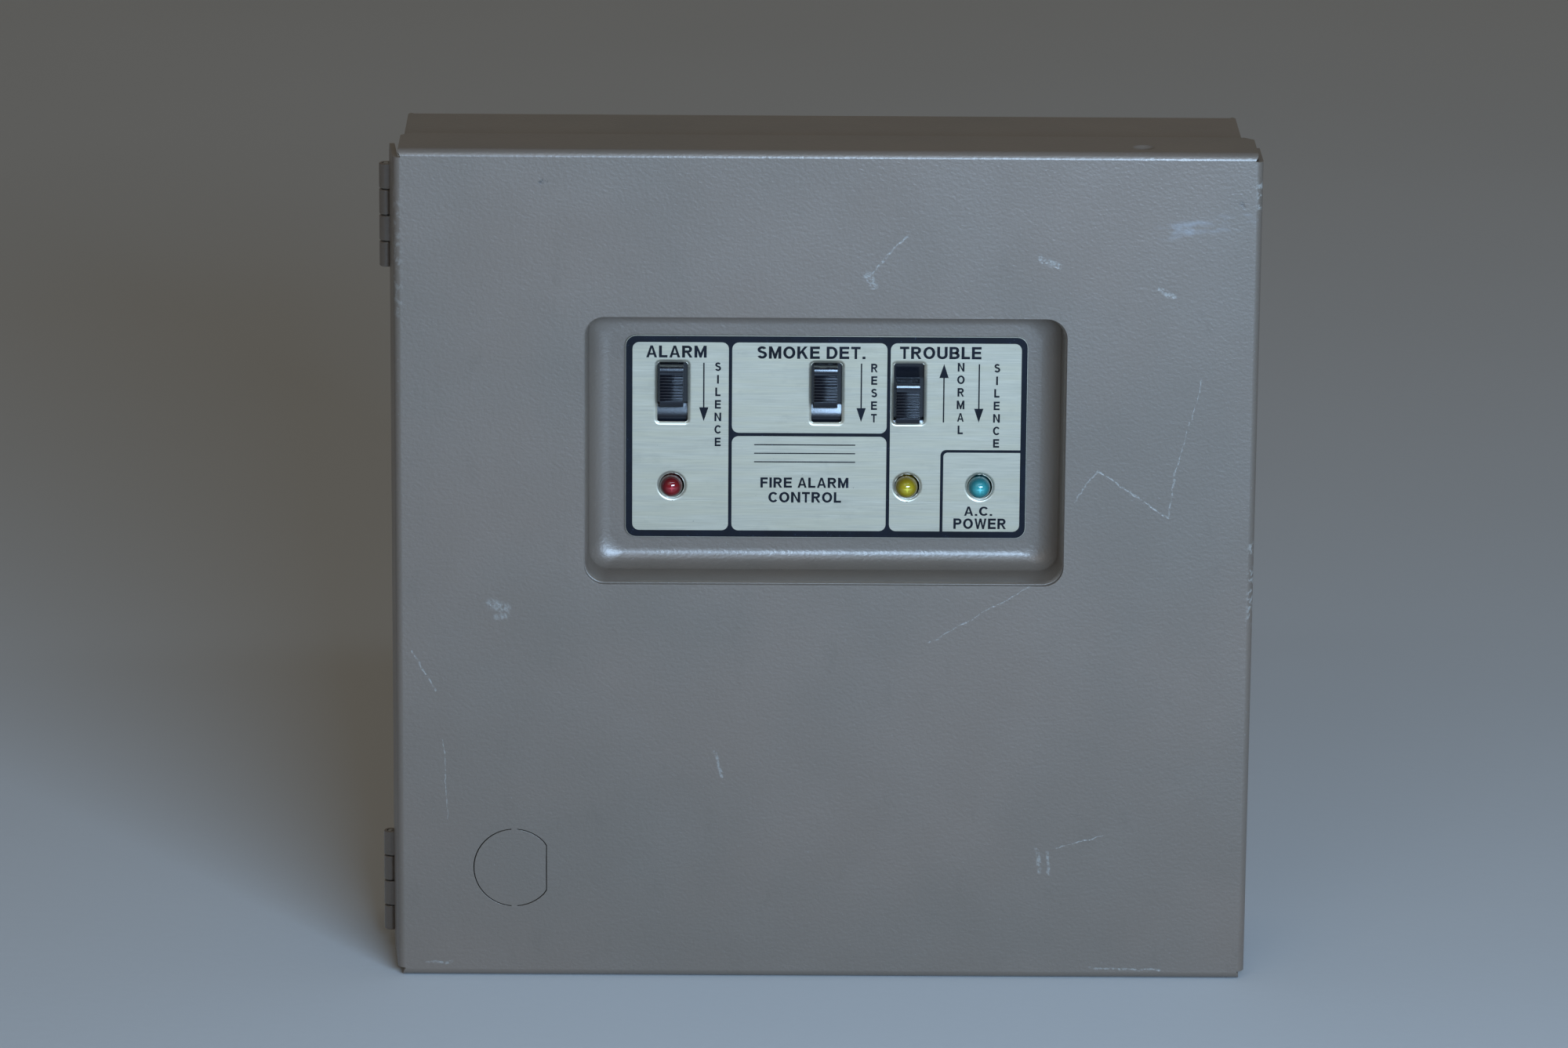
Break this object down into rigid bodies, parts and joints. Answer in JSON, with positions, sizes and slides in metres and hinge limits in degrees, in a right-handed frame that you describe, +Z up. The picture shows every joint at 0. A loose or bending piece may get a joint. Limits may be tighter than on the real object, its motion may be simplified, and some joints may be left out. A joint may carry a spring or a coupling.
{
  "type": "fire alarm control panel",
  "caption": "Small wall-mounted fire alarm control panel: folded steel cabinet, hinged door with a recessed control plate, slide switches, lamps, circuit board and standby battery.",
  "frame": {"origin": "centre of the cabinet's back face, where it rests on the wall", "axes": "+X to the panel's right as seen from the front, +Y into the wall, +Z up; the door's outer face looks along -Y"},
  "size_m": [0.2072, 0.051, 0.2032],
  "materials": {
    "paint": "semi-gloss taupe enamel with fine orange peel",
    "zinc": "bright zinc plate",
    "label_metal": "horizontally brushed, with dark blue-black printed ground and legends",
    "black_plastic": "moulded, glossy",
    "switch_case": "moulded, matt",
    "red_lens": "tinted diffused lens",
    "amber_lens": "tinted diffused lens",
    "green_lens": "tinted diffused lens",
    "laminate": "glass-epoxy laminate with lacquered tracks",
    "relay_case": "moulded",
    "capacitor_sleeve": "shrunk sleeve",
    "aluminium": "extruded, plain",
    "fuse_glass": "clear tube with nickel caps",
    "white_nylon": "moulded nylon",
    "battery_case": "moulded, fine texture",
    "red_wire": "extruded insulation",
    "black_wire": "extruded insulation",
    "loom_wire": "bundle of insulated wires"
  },
  "bodies": {
    "cabinet": {"alarm_relay": "relay_case", "battery_lead_black": "black_wire", "battery_lead_red": "red_wire", "battery_strap": "zinc", "battery_strap_nut_1": "zinc", "battery_strap_nut_2": "zinc", "bridge_rectifier": "black_plastic", "cabinet_shell": "paint", "field_terminal_strip": "black_plastic", "filter_capacitor": "capacitor_sleeve", "fuse": "fuse_glass", "fuse_holder": "black_plastic", "heat_sink": "aluminium", "logic_chip": "black_plastic", "lower_hinge_cabinet_leaf": "paint", "lower_hinge_pin": "zinc", "main_board": "laminate", "main_board_connector": "white_nylon", "main_board_screw_1": "zinc", "main_board_screw_2": "zinc", "main_board_screw_3": "zinc", "main_board_screw_4": "zinc", "main_board_standoff_1": "zinc", "main_board_standoff_2": "zinc", "main_board_standoff_3": "zinc", "main_board_standoff_4": "zinc", "power_terminal_strip": "black_plastic", "standby_battery": "battery_case", "timer_chip": "black_plastic", "trouble_relay": "relay_case", "trouble_sounder": "black_plastic", "upper_hinge_cabinet_leaf": "paint", "upper_hinge_pin": "zinc", "voltage_regulator": "black_plastic", "wiring_loom": "loom_wire"},
    "door": {"door_panel": "paint", "recess_pan": "paint", "label_plate": "label_metal", "upper_hinge_door_leaf": "paint", "lower_hinge_door_leaf": "paint", "alarm_lamp": "red_lens", "trouble_lamp": "amber_lens", "power_lamp": "green_lens", "alarm_switch_housing": "switch_case", "reset_switch_housing": "switch_case", "trouble_switch_housing": "switch_case", "switch_board": "laminate", "switch_board_connector": "white_nylon", "switch_board_spacer_1": "zinc", "switch_board_spacer_2": "zinc", "switch_board_spacer_3": "zinc", "switch_board_spacer_4": "zinc", "switch_board_screw_1": "zinc", "switch_board_screw_2": "zinc", "switch_board_screw_3": "zinc", "switch_board_screw_4": "zinc"},
    "alarm_switch": {"alarm_slider": "black_plastic"},
    "reset_switch": {"reset_slider": "black_plastic"},
    "trouble_switch": {"trouble_slider": "black_plastic"}
  },
  "joints": [
    {"name": "door_hinge", "type": "hinge", "parent": "cabinet", "child": "door", "pos_m": [-0.1039, -0.0314, 0], "axis": [0, 0, -1], "range_deg": [0, 180], "deforming": ["wiring_loom"]},
    {"name": "alarm_slide", "type": "slide", "parent": "door", "child": "alarm_switch", "axis": [0, 0, -1], "range_m": [0, 0.0039]},
    {"name": "reset_slide", "type": "slide", "parent": "door", "child": "reset_switch", "axis": [0, 0, -1], "range_m": [0, 0.0039], "stiffness_N_per_m": 150, "springref_m": -0.002},
    {"name": "trouble_slide", "type": "slide", "parent": "door", "child": "trouble_switch", "axis": [0, 0, 1], "range_m": [0, 0.0039]}
  ]
}
